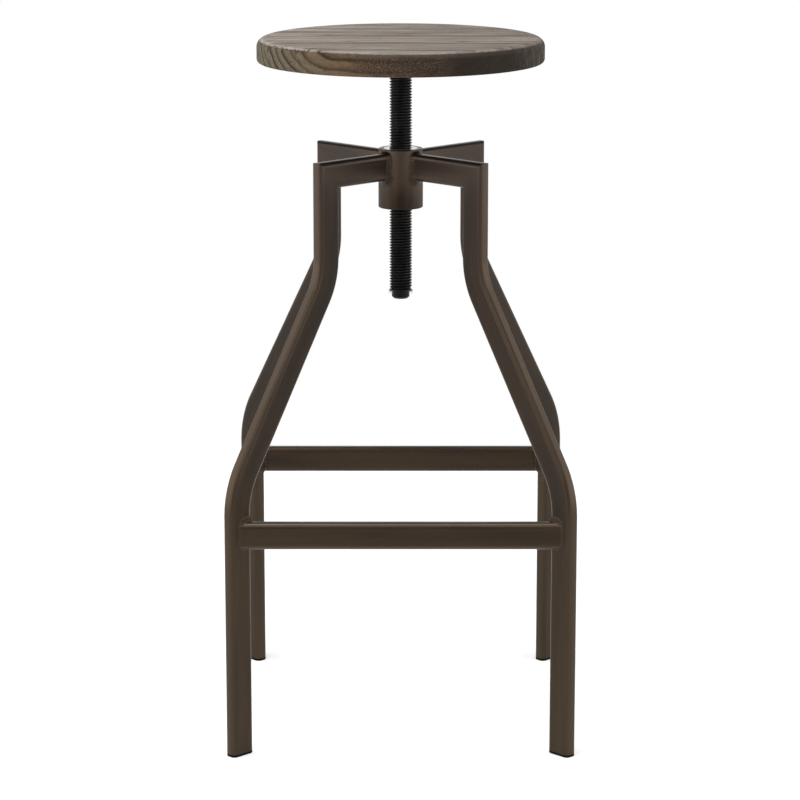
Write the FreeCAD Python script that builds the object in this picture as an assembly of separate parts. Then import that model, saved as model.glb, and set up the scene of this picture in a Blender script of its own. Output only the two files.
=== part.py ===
import FreeCAD, Part
import math
import os

os.makedirs("parts", exist_ok=True)

V = FreeCAD.Vector
UP = V(0, 0, 1)
CENTRE = V(0, 0, 0)

# Bar stool with a round wooden seat on a screw. Millimetres, floor at zero, front towards -Y.

# Seat, drawn at the height shown
seat_height = 774.1
seat_diameter = 320.0
seat_thickness = 27.0
seat_top_round = 3.0
seat_bottom_round = 2.0
board_width = 83.0
middle_seam = 13.0

# Screw, one inch with eight threads to the inch
thread_diameter = 25.4
thread_lead = 3.175
thread_depth = 1.95
thread_crest = 0.40
thread_gap = 0.30
thread_bottom = 491.3
end_diameter = 20.0
end_length = 11.0
end_chamfer = 2.0
thread_runout = 0.2
neck_diameter = 21.0
neck_length = 8.0
spigot_diameter = 18.0

# Stop at the screw's lower end
washer_diameter = 24.6
washer_thickness = 0.9
washer_gap = 0.3
washer_play = 0.4
pin_diameter = 5.0
pin_length = 27.0
pin_wall = 1.0
pin_slot = 0.9

# Flange under the seat
flange_diameter = 120.0
flange_thickness = 4.0
flange_chamfer = 0.8
flange_weld_size = 5.0
screw_circle = 84.0
screw_count = 4
screw_diameter = 4.5
screw_head = 9.0
screw_length = 20.0
screw_recess_depth = 1.6
screw_recess_length = 4.5
screw_recess_width = 1.0

# Hub with its threaded insert
hub_diameter = 50.0
hub_bore = 38.0
hub_bottom = 584.0
hub_height = 66.5
hub_chamfer = 1.0
nut_chamfer = 0.8
arm_below_hub_top = 4.0

# Flat tube of the arms, legs and stretchers
tube_wide = 30.0
tube_thin = 15.0
tube_corner = 5.5
tube_wall = 1.5

# Leg line in its own upright plane, distances out from the middle
leg_top_reach = 116.0
leg_foot_reach = 251.9
upper_bend_height = 517.0
lower_bend_height = 299.0
upper_bend_radius = 80.0
lower_bend_radius = 97.0

stretcher_height = 250.4

# Weld beads
hub_weld_rise = 2.4
hub_weld_run = 4.5
stretcher_weld_rise = 2.2
stretcher_weld_run = 4.0
weld_lip = 0.1
weld_root = 4.0

# Foot caps
cap_thickness = 3.0
cap_round = 1.2
cap_plug_height = 16.0
cap_plug_wall = 2.0
cap_rib = 2.0

# Heights and reaches that follow
seat_underside = seat_height - seat_thickness
flange_bottom = seat_underside - flange_thickness
thread_top = flange_bottom - neck_length
hub_top = hub_bottom + hub_height
arm_top = hub_top - arm_below_hub_top
arm_bottom = arm_top - tube_wide
arm_middle = arm_top - tube_wide / 2
foot_side = leg_foot_reach / math.sqrt(2)
pin_height = thread_bottom - 2 * washer_gap - washer_thickness - pin_diameter / 2

corners = {"front_left": 225, "front_right": 315, "rear_right": 45, "rear_left": 135}


def save(name, shape):
    shape.exportStep("parts/" + name + ".step")


def turned(shape, degrees):
    copy = shape.copy()
    copy.rotate(CENTRE, UP, degrees)
    return copy


def revolved(points):
    """A solid turned about the upright axis from (radius, height) points."""
    corners_3d = [V(r, 0, z) for r, z in points]
    face = Part.Face(Part.makePolygon(corners_3d + corners_3d[:1]))
    return face.revolve(CENTRE, UP, 360)


def rounded_wire(wide, thin, corner):
    """A flat rectangle with round corners about the origin, wide along X."""
    x = wide / 2 - corner
    y = thin / 2 - corner
    edges = []
    for i, (sx, sy) in enumerate([(1, 1), (-1, 1), (-1, -1), (1, -1)]):
        centre = V(sx * x, sy * y, 0)
        edges.append(Part.makeCircle(corner, centre, UP, 90 * i, 90 * i + 90))
    for i in range(4):
        start = edges[i].valueAt(edges[i].LastParameter)
        end = edges[(i + 1) % 4].valueAt(edges[(i + 1) % 4].FirstParameter)
        edges.append(Part.makeLine(start, end))
    return Part.Wire(Part.__sortEdges__(edges))


def tube_wire(grow):
    """The tube's outline, grown all round by a distance, or shrunk if it is negative."""
    return rounded_wire(tube_wide + 2 * grow, tube_thin + 2 * grow, tube_corner + grow)


def upright(wire):
    """Stands a flat outline on end across the X axis, wide side up."""
    wire = wire.copy()
    wire.rotate(CENTRE, V(0, 1, 0), -90)
    return wire


def prism(points, half_width):
    """A flat-sided block from (reach, height) points, of equal width to both sides."""
    corners_3d = [V(x, -half_width, z) for x, z in points]
    face = Part.Face(Part.makePolygon(corners_3d + corners_3d[:1]))
    return face.extrude(V(0, 2 * half_width, 0))


def bend(corner, before, after, radius):
    """The first, middle and last point of an arc that rounds a corner between two directions."""
    half = before.getAngle(after) / 2
    inward = (after - before).normalize()
    tangent = radius * math.tan(half)
    middle = corner + inward * (radius / math.cos(half) - radius)
    return corner - before * tangent, middle, corner + after * tangent


def leg_path(bottom, top):
    low = V(leg_foot_reach, 0, lower_bend_height)
    high = V(leg_top_reach, 0, upper_bend_height)
    slant = (high - low).normalize()
    a, b, c = bend(low, UP, slant, lower_bend_radius)
    d, e, f = bend(high, slant, UP, upper_bend_radius)
    edges = [
        Part.makeLine(V(leg_foot_reach, 0, bottom), a),
        Part.Arc(a, b, c).toShape(),
        Part.makeLine(c, d),
        Part.Arc(d, e, f).toShape(),
        Part.makeLine(f, V(leg_top_reach, 0, top)),
    ]
    return Part.Wire(edges)


def leg_solid(grow):
    """The leg's outer shape, or its inner space, up to the corner with the arm."""
    wire = tube_wire(grow)
    wire.translate(V(leg_foot_reach, 0, cap_thickness))
    return leg_path(cap_thickness, arm_top + tube_wide).makePipeShell([wire], True, False)


def arm_solid(grow, reach):
    wire = upright(tube_wire(grow))
    wire.translate(V(0, 0, arm_middle))
    return Part.Face(wire).extrude(V(reach, 0, 0))


# Thread
def helix(radius, height, turn):
    """One turn of a right-hand helix, its parameter the angle."""
    steps = 24
    angles = [2 * math.pi * i / steps for i in range(steps + 1)]
    rise = thread_lead / (2 * math.pi)
    low = height + thread_lead * turn
    points = [V(radius * math.cos(a), radius * math.sin(a), low + rise * a) for a in angles]
    along = V(0, radius, rise)
    curve = Part.BSplineCurve()
    curve.interpolate(
        Points=points, Parameters=angles, InitialTangent=along, FinalTangent=along, Scale=False
    )
    return curve.toShape()


def screw(crest, root, crest_flat, centre_height, turns):
    """A plain screw of whole turns, the middle of its first crest at a given height."""
    slope = (crest - root) * math.tan(math.radians(30))
    start = centre_height - crest_flat / 2
    steps = [
        (crest, 0.0),
        (crest, crest_flat),
        (root, crest_flat + slope),
        (root, thread_lead - slope),
    ]
    lines = [[helix(r, start + up, k) for k in range(turns + 1)] for r, up in steps]
    faces = []
    for k in range(turns):
        rising = [line[k] for line in lines] + [lines[0][k + 1]]
        for lower, upper in zip(rising[:-1], rising[1:]):
            faces.append(Part.makeRuledSurface(lower, upper))
    for k in (0, turns):
        low = start + thread_lead * k
        axis = Part.makeLine(V(0, 0, low), V(0, 0, low + thread_lead))
        faces.append(Part.makeRuledSurface(axis, lines[0][k]))
        rim = [V(r, 0, low + up) for r, up in steps] + [V(crest, 0, low + thread_lead)]
        loop = [V(0, 0, low)] + rim + [V(0, 0, low + thread_lead), V(0, 0, low)]
        faces.append(Part.Face(Part.makePolygon(loop)))
    shell = Part.makeShell(faces)
    shell.sewShape(1e-5)
    solid = Part.makeSolid(shell)
    if solid.Volume < 0:
        solid.reverse()
    return solid


thread_radius = thread_diameter / 2
root_radius = thread_radius - thread_depth

# Spindle
turns_below = 3
first_crest = thread_bottom - turns_below * thread_lead
turn_count = math.ceil((thread_top - first_crest) / thread_lead) + 3
thread_form = screw(thread_radius, root_radius, thread_crest, first_crest, turn_count)
blank_radius = thread_radius + thread_depth
blank_low = root_radius - thread_runout
blank = revolved([
    (0, thread_bottom),
    (blank_low, thread_bottom),
    (blank_radius, thread_bottom + blank_radius - blank_low),
    (blank_radius, thread_top - blank_radius + blank_low),
    (blank_low, thread_top),
    (0, thread_top),
])
spindle_bottom = thread_bottom - end_length
turned_end = revolved([
    (0, spindle_bottom),
    (end_diameter / 2 - end_chamfer, spindle_bottom),
    (end_diameter / 2, spindle_bottom + end_chamfer),
    (end_diameter / 2, thread_bottom),
    (0, thread_bottom),
])
neck = revolved([
    (0, thread_top),
    (neck_diameter / 2, thread_top),
    (neck_diameter / 2, flange_bottom),
    (spigot_diameter / 2, flange_bottom),
    (spigot_diameter / 2, seat_underside),
    (0, seat_underside),
])
pin_start = V(-pin_length / 2, 0, pin_height)
along_x = V(1, 0, 0)
pin_hole = Part.makeCylinder(pin_diameter / 2, pin_length, pin_start, along_x)
spindle = thread_form.common(blank).fuse([turned_end, neck]).cut(pin_hole)
save("spindle", spindle.Solids[0])

# Stop pin rolled from sheet, its slot downwards, and the loose washer above it
pin_bore = Part.makeCylinder(pin_diameter / 2 - pin_wall, pin_length, pin_start, along_x)
slot_low = pin_start - V(0, pin_slot / 2, pin_diameter)
pin_cut = Part.makeBox(pin_length, pin_slot, pin_diameter, slot_low)
save("stop_pin", pin_hole.cut(pin_bore).cut(pin_cut))

washer_low = pin_height + pin_diameter / 2 + washer_gap
washer_hole = end_diameter / 2 + washer_play
save("stop_washer", revolved([
    (washer_hole, washer_low),
    (washer_diameter / 2, washer_low),
    (washer_diameter / 2, washer_low + washer_thickness),
    (washer_hole, washer_low + washer_thickness),
]))

# Hub barrel, and the insert cut with the same thread, a gap all round it
save("hub_barrel", revolved([
    (hub_bore / 2, hub_bottom),
    (hub_diameter / 2 - hub_chamfer, hub_bottom),
    (hub_diameter / 2, hub_bottom + hub_chamfer),
    (hub_diameter / 2, hub_top - hub_chamfer),
    (hub_diameter / 2 - hub_chamfer, hub_top),
    (hub_bore / 2, hub_top),
]))
side_gap = thread_gap / math.sin(math.radians(30))
crest_gap = thread_gap * math.tan(math.radians(30))
turns_to_hub = math.floor((hub_bottom - first_crest) / thread_lead) - 2
tap_first = first_crest + turns_to_hub * thread_lead
tap_turns = math.ceil(hub_height / thread_lead) + 5
tap = screw(
    thread_radius + thread_gap,
    root_radius + side_gap,
    thread_crest + 2 * crest_gap,
    tap_first,
    tap_turns,
)
nut_mouth = root_radius + side_gap + nut_chamfer
nut = revolved([
    (0, hub_bottom),
    (hub_bore / 2, hub_bottom),
    (hub_bore / 2, hub_top),
    (0, hub_top),
]).cut(tap)
mouth_low = Part.makeCone(nut_mouth, 0, nut_mouth, V(0, 0, hub_bottom))
mouth_high = Part.makeCone(0, nut_mouth, nut_mouth, V(0, 0, hub_top - nut_mouth))
nut = nut.cut(mouth_low).cut(mouth_high)
save("hub_nut", nut.Solids[0])

# Arms and legs, mitred where they meet
inner = leg_top_reach - tube_wide / 2
outer = leg_top_reach + tube_wide / 2
spare = 2 * tube_wide
mitre_low = (inner - spare, arm_bottom - spare)
mitre_high = (outer + spare, arm_top + spare)
above_mitre = prism([mitre_low, mitre_high, (inner - spare, arm_top + spare)], tube_thin)
below_mitre = prism([mitre_low, mitre_high, (outer + spare, arm_bottom - spare)], tube_thin)
hub_cylinder = Part.makeCylinder(hub_diameter / 2, 2 * hub_height, V(0, 0, hub_bottom))

leg_envelope = leg_solid(0).cut(above_mitre)
leg = leg_envelope.cut(leg_solid(-tube_wall))
arm_envelope = arm_solid(0, outer + 1)
arm_inner = arm_solid(-tube_wall, outer + 1)
arm = arm_envelope.cut(arm_inner).cut(below_mitre).cut(hub_cylinder)
for corner, degrees in corners.items():
    save("leg_" + corner, turned(leg, degrees).Solids[0])
    save("arm_" + corner, turned(arm, degrees).Solids[0])

# Bead round each arm at the hub, thinning along the arm
taper = hub_weld_rise / hub_weld_run
bead_start = hub_diameter / 2 - weld_root
bead_end = hub_diameter / 2 + hub_weld_run
wide_ring = upright(tube_wire((bead_end - bead_start) * taper))
wide_ring.translate(V(bead_start, 0, arm_middle))
thin_ring = upright(tube_wire(weld_lip))
thin_ring.translate(V(bead_end, 0, arm_middle))
bead = Part.makeLoft([wide_ring, thin_ring], True, True)
bead = bead.cut(hub_cylinder).cut(arm_envelope)
beads = [turned(bead, degrees) for degrees in corners.values()]
save("hub_welds", Part.makeCompound(beads))

# Stretchers, shaped to the legs at both ends
right_legs = [turned(leg_envelope, corners["front_right"])]
stretcher_legs = right_legs + [turned(leg_envelope, corners["front_left"])]


def stretcher_solid(grow):
    wire = upright(tube_wire(grow))
    wire.translate(V(-foot_side, -foot_side, stretcher_height))
    return Part.Face(wire).extrude(V(2 * foot_side, 0, 0))


def backwards(shape):
    return shape.mirror(CENTRE, V(0, 1, 0))


stretcher_envelope = stretcher_solid(0)
stretcher = stretcher_envelope.cut(stretcher_solid(-tube_wall)).cut(stretcher_legs)
stretcher = max(stretcher.Solids, key=lambda solid: solid.Volume)
save("front_stretcher", stretcher)
save("rear_stretcher", backwards(stretcher))

# Bead at each stretcher end, its rings parallel to the leg's broad side
slope = FreeCAD.Matrix()
slope.A12 = -1.0


def slanted_ring(grow, distance):
    """The stretcher's outline grown, in a plane at a distance out from the leg's broad side."""
    wire = upright(tube_wire(grow)).transformGeometry(slope)
    face_x = foot_side - tube_thin / math.sqrt(2)
    wire.translate(V(face_x - distance * math.sqrt(2), -foot_side, stretcher_height))
    return wire


steepness = stretcher_weld_rise / stretcher_weld_run
ring_in = slanted_ring(stretcher_weld_rise + weld_root * steepness, -weld_root)
ring_out = slanted_ring(weld_lip, stretcher_weld_run)
end_bead = Part.makeLoft([ring_in, ring_out], True, True)
end_bead = end_bead.cut(right_legs).cut(stretcher_envelope)
end_bead = max(end_bead.Solids, key=lambda solid: solid.Volume)
front_beads = [end_bead, end_bead.mirror(CENTRE, V(1, 0, 0))]
save("stretcher_welds", Part.makeCompound(front_beads + [backwards(b) for b in front_beads]))

# Foot caps: a sole of the tube's outline and a hollow plug with a rib
sole = Part.Face(tube_wire(0)).extrude(V(0, 0, cap_thickness))
low_edges = [e for e in sole.Edges if e.BoundBox.ZMax < 0.01]
sole = sole.makeFillet(cap_round, low_edges)
plug = Part.Face(tube_wire(-tube_wall)).extrude(V(0, 0, cap_plug_height))
plug_space = Part.Face(tube_wire(-tube_wall - cap_plug_wall)).extrude(V(0, 0, cap_plug_height))
rib = Part.makeBox(cap_rib, tube_thin, cap_plug_height, V(-cap_rib / 2, -tube_thin / 2, 0))
plug = plug.cut(plug_space.cut(rib))
plug.translate(V(0, 0, cap_thickness))
cap = sole.fuse(plug).removeSplitter()
cap.translate(V(leg_foot_reach, 0, 0))
for corner, degrees in corners.items():
    save("foot_cap_" + corner, turned(cap, degrees).Solids[0])

# Flange, its weld, and the screws into the wood
screw_low = flange_bottom
head_height = (screw_head - screw_diameter) / 2
screw_top = screw_low + screw_length
one_screw = revolved([
    (0, screw_low),
    (screw_head / 2, screw_low),
    (screw_diameter / 2, screw_low + head_height),
    (screw_diameter / 2, screw_top - screw_diameter),
    (0, screw_top),
])
screw_blank = one_screw.copy()
for angle in (0, 90):
    corner = V(-screw_recess_length / 2, -screw_recess_width / 2, 0)
    bar = Part.makeBox(screw_recess_length, screw_recess_width, screw_recess_depth, corner)
    bar.rotate(CENTRE, UP, angle)
    bar.translate(V(0, 0, screw_low))
    one_screw = one_screw.cut(bar)


def around(shape):
    copies = []
    for i in range(screw_count):
        copy = shape.copy()
        copy.translate(V(screw_circle / 2, 0, 0))
        copies.append(turned(copy, 360 * (i + 0.5) / screw_count))
    return copies


blanks = around(screw_blank)
save("seat_screws", Part.makeCompound(around(one_screw)))
flange = revolved([
    (spigot_diameter / 2, flange_bottom),
    (flange_diameter / 2 - flange_chamfer, flange_bottom),
    (flange_diameter / 2, flange_bottom + flange_chamfer),
    (flange_diameter / 2, seat_underside),
    (spigot_diameter / 2, seat_underside),
]).cut(blanks)
save("seat_flange", flange)
save("flange_weld", revolved([
    (neck_diameter / 2, flange_bottom - flange_weld_size),
    (neck_diameter / 2 + flange_weld_size, flange_bottom),
    (neck_diameter / 2, flange_bottom),
]))

# Seat disc, parted into boards along the grain
disc = Part.makeCylinder(seat_diameter / 2, seat_thickness, V(0, 0, seat_underside))
middle = seat_underside + seat_thickness / 2
top_edge = [e for e in disc.Edges if e.BoundBox.ZMin > middle]
disc = disc.makeFillet(seat_top_round, top_edge)
bottom_edge = [e for e in disc.Edges if e.BoundBox.ZMax < middle and e.Length > seat_diameter]
disc = disc.makeFillet(seat_bottom_round, bottom_edge)
disc = disc.cut(blanks)
seams = [-seat_diameter, middle_seam - board_width, middle_seam, middle_seam + board_width]
seams.append(seat_diameter)
for i in range(len(seams) - 1):
    width = seams[i + 1] - seams[i]
    low = V(-seat_diameter, seams[i], seat_underside - 1)
    slab = Part.makeBox(2 * seat_diameter, width, seat_thickness + 2, low)
    board = disc.common(slab)
    save("seat_board_" + str(i + 1), board.Solids[0])
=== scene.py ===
# %% [markdown]
# # A bar stool with a screw seat
# The stool is a welded steel frame, a coarse black screw and a round seat of glued boards.
# The solids come from the CAD model, already at their real size in metres. This lesson gives
# them their looks: tubes whose finish follows their length, weld beads, boards with a grain,
# and a plain studio to see them in.

# %% Load the solids
import math
import bmesh
import bpy
from mathutils import Matrix, Vector, noise


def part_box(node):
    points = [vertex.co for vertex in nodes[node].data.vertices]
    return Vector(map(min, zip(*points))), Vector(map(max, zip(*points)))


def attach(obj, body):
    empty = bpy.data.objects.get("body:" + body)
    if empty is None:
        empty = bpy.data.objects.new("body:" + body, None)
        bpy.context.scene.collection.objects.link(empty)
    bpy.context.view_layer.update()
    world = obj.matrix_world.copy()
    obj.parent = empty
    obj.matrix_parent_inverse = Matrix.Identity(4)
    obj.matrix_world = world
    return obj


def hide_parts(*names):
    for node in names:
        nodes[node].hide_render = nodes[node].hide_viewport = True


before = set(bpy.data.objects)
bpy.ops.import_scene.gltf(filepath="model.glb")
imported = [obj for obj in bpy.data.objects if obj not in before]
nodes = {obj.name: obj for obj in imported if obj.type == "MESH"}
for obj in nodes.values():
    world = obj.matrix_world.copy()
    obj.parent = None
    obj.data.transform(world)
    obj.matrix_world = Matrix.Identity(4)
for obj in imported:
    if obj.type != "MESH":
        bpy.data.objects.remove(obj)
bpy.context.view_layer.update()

# %% [markdown]
# ## Camera
# The view is from the front, a little above the seat. The distance, height, pitch and focal
# length come from fitting a camera to the outlines of the seat, legs and bars, so every piece
# falls where the photograph has it. The stool stands a little right of the picture's middle.

# %% Camera
IMAGE_SIDE = 800
FOCAL_PIXELS = 3072.6
PIXELS_OFF_MIDDLE = 0.7
CAMERA_PLACE = (0.0, -3.4132, 1.1209)
PITCH_DOWN = math.radians(12.538)

scene = bpy.context.scene


def show(name, data):
    """Puts an object with this data in the scene."""
    made = bpy.data.objects.new(name, data)
    scene.collection.objects.link(made)
    return made


lens = bpy.data.cameras.new("front_view")
lens.sensor_width = 36
lens.lens = FOCAL_PIXELS / IMAGE_SIDE * lens.sensor_width
lens.shift_x = -PIXELS_OFF_MIDDLE / IMAGE_SIDE
camera = show("front_view", lens)
camera.location = CAMERA_PLACE
camera.rotation_euler = (math.radians(90) - PITCH_DOWN, 0, 0)
scene.camera = camera
print("lens in mm:", round(lens.lens, 1))

# %% [markdown]
# ## Helpers for node trees
# Materials and Geometry Nodes are both trees of nodes joined by links. One small helper adds a
# node, sets its options and fills its inputs: a plain value is set on the socket, and an output
# of another node is linked to it. A second one is for a node that others feed. It finds the tree
# by itself and gives the node's outputs. The rest are short names for the nodes used most.


# %% Helpers for numbers and vectors
def add(tree, kind, inputs=None, **options):
    """Adds a node. inputs maps a socket's name or number to a value or to a node's output."""
    made = tree.nodes.new(kind)
    for name, value in options.items():
        setattr(made, name, value)
    for key, value in (inputs or {}).items():
        socket = made.inputs[key]
        if isinstance(value, bpy.types.NodeSocket):
            tree.links.new(value, socket)
        else:
            socket.default_value = value
    return made


def fed(kind, inputs, **options):
    """Adds a node to the tree of the outputs that feed it, and returns its own outputs."""
    trees = [value.id_data for value in inputs.values() if isinstance(value, bpy.types.NodeSocket)]
    return add(trees[0], kind, inputs, **options).outputs


def maths(operation, *values):
    return fed("ShaderNodeMath", dict(enumerate(values)), operation=operation)[0]


def times(result, *others):
    for other in others:
        result = maths("MULTIPLY", result, other)
    return result


def plus(result, *others):
    for other in others:
        result = maths("ADD", result, other)
    return result


def spread(value, low, high, to_low=0.0, to_high=1.0):
    """Maps a value from one range to another, clamped."""
    inputs = {0: value, 1: low, 2: high, 3: to_low, 4: to_high}
    return fed("ShaderNodeMapRange", inputs)[0]


def vectors(operation, *values):
    return fed("ShaderNodeVectorMath", dict(enumerate(values)), operation=operation)[0]


def length(vector):
    return fed("ShaderNodeVectorMath", {0: vector}, operation="LENGTH")["Value"]


def split(vector):
    return fed("ShaderNodeSeparateXYZ", {0: vector})


print("number helpers ready")


# %% Helpers for colours and finishes
def ramp(factor, *stops):
    """A colour ramp from (position, colour) stops. One number in place of a colour is a grey."""
    made = add(factor.id_data, "ShaderNodeValToRGB", {"Fac": factor})
    elements = made.color_ramp.elements
    while len(elements) < len(stops):
        elements.new(0.5)
    for element, (position, colour) in zip(elements, stops):
        element.position = position
        element.color = (*(colour if isinstance(colour, tuple) else (colour,) * 3), 1)
    return made.outputs[0]


def grey(value):
    return fed("ShaderNodeCombineColor", {0: value, 1: value, 2: value})[0]


def mix(factor, one, two, blend="MIX"):
    """Blends two colours, each an output or (red, green, blue)."""
    ends = [end if isinstance(end, bpy.types.NodeSocket) else (*end, 1) for end in (one, two)]
    inputs = {0: factor, 6: ends[0], 7: ends[1]}
    return fed("ShaderNodeMix", inputs, data_type="RGBA", blend_type=blend)[2]


def tint(colour, by):
    return mix(1.0, colour, by, "MULTIPLY")


def carried(place, name, output="Vector"):
    """An attribute that the mesh carries, read in the tree that place belongs to."""
    return add(place.id_data, "ShaderNodeAttribute", attribute_name=name).outputs[output]


def stretched_noise(place, scale, detail=3.0, roughness=0.5):
    """Noise with its own scale along each axis."""
    mapped = fed("ShaderNodeMapping", {"Vector": place, "Scale": scale})[0]
    inputs = {"Vector": mapped, "Scale": 1.0, "Detail": detail, "Roughness": roughness}
    return fed("ShaderNodeTexNoise", inputs)[0]


def new_finish(name, **constants):
    """A material with its constants set on the shader itself, and the place on the object."""
    material = bpy.data.materials.new(name)
    material.use_nodes = True
    tree = material.node_tree
    for key, value in constants.items():
        tree.nodes["Principled BSDF"].inputs[key.replace("_", " ")].default_value = value
    return material, add(tree, "ShaderNodeTexCoord").outputs["Object"]


def dress(material, colour, roughness, height, strength, distance):
    """Joins a finish to its shader: colour, roughness, and a bump from a height."""
    inputs = {"Height": height, "Strength": strength, "Distance": distance}
    relief = fed("ShaderNodeBump", inputs)[0]
    tree = material.node_tree
    for name, output in (("Base Color", colour), ("Roughness", roughness), ("Normal", relief)):
        tree.links.new(output, tree.nodes["Principled BSDF"].inputs[name])
    return material


print("finish helpers ready")

# %% [markdown]
# ## Lacquer tones and painted shade
# The frame is steel under a dark bronze lacquer, and its tone differs from place to place. Some of
# the tones here are painted shade and painted highlights. The tubes made below carry an attribute
# with the place across the tube and the distance along it. The place across tells broad sides from
# narrow ones: the broad sides of the legs, the bars and the arms get painted shade, most on the
# rear arms, and painted light next to the hub. It also finds the round corners, which get a painted
# highlight on the front footrest bar. Along the slanted saw cut from arm to leg the tone runs on
# smoothly, so the joint doesn't show. The hub gets painted shade low down and in a dark patch at
# its front and back, and a weld gets painted shade in its hollow. Such tones could be painted by
# hand, but as rules they stay in place at any size.

# %% Lacquer tones
SAW_CUT = 0.5155  # height above the floor less the distance from the axis, along the cut


def axis_distance(place):
    return length(vectors("MULTIPLY", place, (1, 1, 0)))


def tube_painted_shading(colour, tube, solid, edge_highlight):
    _, depth, height = split(solid)
    wide, thin, _ = split(tube)
    wide, thin = maths("ABSOLUTE", wide), maths("ABSOLUTE", thin)
    # Painted shade on the broad sides: darkest halfway up the legs, less towards the floor and the
    # arms.
    leg = ramp(height, (0.22, 0.78), (0.34, 0.68), (0.52, 0.58), (0.59, 0.55),
               (0.618, 0.6), (0.64, 0.7))
    reach = axis_distance(solid)
    # Painted shade, darker on the rear arms, and painted light, lighter next to the hub.
    arm = times(spread(depth, -0.02, 0.02, 0.94, 0.62), spread(reach, 0.035, 0.07, 1.22, 1.0))
    past_cut = maths("SUBTRACT", plus(reach, SAW_CUT), height)
    broad = mix(spread(past_cut, -0.012, 0.024, 1.0, 0.0), leg, grey(arm))
    colour = mix(spread(thin, 0.0058, 0.0075), colour, tint(colour, broad))
    # A painted highlight on the round corners, where the tube catches the light.
    corner = times(spread(wide, 0.0095, 0.015), spread(thin, 0.002, 0.0075))
    corner_highlight = times(maths("POWER", times(corner, 2.0), 2.0), edge_highlight)
    return mix(corner_highlight, colour, (0.15, 0.118, 0.092))


def hub_painted_shade(tone, solid):
    # Painted shade: darker low down, and a dark patch down the front and back.
    x, _, height = split(solid)
    low_down = ramp(height, (0.56, 1.0), (0.584, 0.58), (0.596, 0.62), (0.605, 0.75), (0.625, 1.0))
    tone = tint(tint(tone, (1.06, 1.04, 1.0)), low_down)
    patch = spread(height, 0.596, 0.614, 0.46, 0.0)
    patch = times(patch, spread(maths("ABSOLUTE", x), 0.002, 0.011, 1.0, 0.0))
    return mix(times(patch, spread(height, 0.56, 0.58)), tone, (0, 0, 0))


def weld_tone(colour, solid):
    hollow = carried(solid, "hollow", "Fac")
    # Painted shade: darker deep in the weld's hollow, a little lighter at its toes.
    hollow_shade = ramp(hollow, (0.0, 1.15), (0.45, 1.0), (0.8, 0.62), (1.0, 0.54))
    lump = spread(stretched_noise(solid, (520,) * 3, 2.0), 0.36, 0.64, 0.74, 1.26)
    lump = times(lump, spread(split(solid)[2], 0.4, 0.55, 0.72, 1.0))
    return tint(tint(colour, hollow_shade), grey(lump))


print("lacquer tones ready")

# %% [markdown]
# ## Frame lacquer
# The lacquer was rubbed on along the tubes, so brown and grey drift in long soft streaks that
# follow each tube round its bends. A pattern in plain object space would run straight through the
# bends, so on tubes the finish reads their attribute. Turned and welded pieces use object space.


# %% Frame lacquer
def lacquer(name, kind, edge_highlight=0.0):
    material, solid = new_finish(name, Metallic=0.85, IOR=1.5, Specular_IOR_Level=0.3)
    if kind == "tube":
        place = carried(solid, "tube")
        long_scale, fine_scale = (48, 48, 4.5), (700, 700, 12)
    else:
        place = solid
        long_scale, fine_scale = (60, 60, 30), (700, 700, 220)
    drift = stretched_noise(place, long_scale, 4.0, 0.55)
    brush = stretched_noise(place, fine_scale, 2.0, 0.6)
    cloud = stretched_noise(place, (16, 16, 6), 3.0, 0.5)
    colour = ramp(drift, (0.3, (0.042, 0.032, 0.024)), (0.5, (0.055, 0.039, 0.026)),
                  (0.72, (0.067, 0.045, 0.028)))
    colour = tint(colour, grey(spread(brush, 0.3, 0.7, 0.93, 1.06)))
    tone = ramp(split(solid)[2], (0.2, (1.0, 0.97, 0.92)), (0.6, (1.0, 1.03, 1.16)))
    if kind != "tube":
        tone = hub_painted_shade(tone, solid)
    colour = tint(colour, tone)
    if kind == "tube":
        colour = tube_painted_shading(colour, place, solid, edge_highlight)
    if kind == "weld":
        colour = weld_tone(colour, solid)
    rough = plus(spread(cloud, 0.3, 0.7, 0.32, 0.42), spread(brush, 0.3, 0.7, -0.03, 0.05))
    return dress(material, colour, rough, brush, 0.1, 0.0004)


tube_lacquer = lacquer("bronze_lacquer_tube", "tube")
bar_lacquer = lacquer("bronze_lacquer_bar", "tube", edge_highlight=0.32)
turned_lacquer = lacquer("bronze_lacquer_turned", "turned")
weld_lacquer = lacquer("bronze_lacquer_weld", "weld")
print("finishes:", tube_lacquer.name, bar_lacquer.name, turned_lacquer.name, weld_lacquer.name)

# %% [markdown]
# ## Blackened steel, bare steel and plastic
# The screw and its washer are blackened, and the screw's crests are rubbed a little brighter where
# they ran in the nut. The distance from the screw's axis tells crest from root. The nut, the pin
# and the wood screws are bare steel with fine rings about the same axis. The foot caps are matt
# moulded plastic.


# %% Screw, nut and cap finishes
def blackened():
    material, place = new_finish("blackened_steel", Metallic=0.85, IOR=1.5)
    crest = spread(axis_distance(place), 0.01215, 0.01268)
    patch = stretched_noise(place, (90, 90, 40), 3.0)
    worn = times(crest, spread(patch, 0.4, 0.7, 0.2, 1.0))
    colour = mix(worn, (0.007, 0.0065, 0.0065), (0.05, 0.047, 0.045))
    rough = spread(patch, 0.3, 0.7, 0.3, 0.44)
    return dress(material, colour, rough, stretched_noise(place, (900,) * 3, 2.0), 0.08, 0.0002)


def bare_steel():
    material, place = new_finish("bare_turned_steel", Metallic=1.0)
    turns = {"W": times(axis_distance(place), 4000.0), "Scale": 1.0, "Detail": 2.0}
    rings = fed("ShaderNodeTexNoise", turns, noise_dimensions="1D")[0]
    stain = spread(stretched_noise(place, (120, 120, 120), 3.0), 0.35, 0.7)
    colour = mix(stain, (0.86, 0.85, 0.83), (0.66, 0.64, 0.61))
    return dress(material, colour, spread(rings, 0.3, 0.7, 0.26, 0.42), rings, 0.15, 0.0002)


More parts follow.
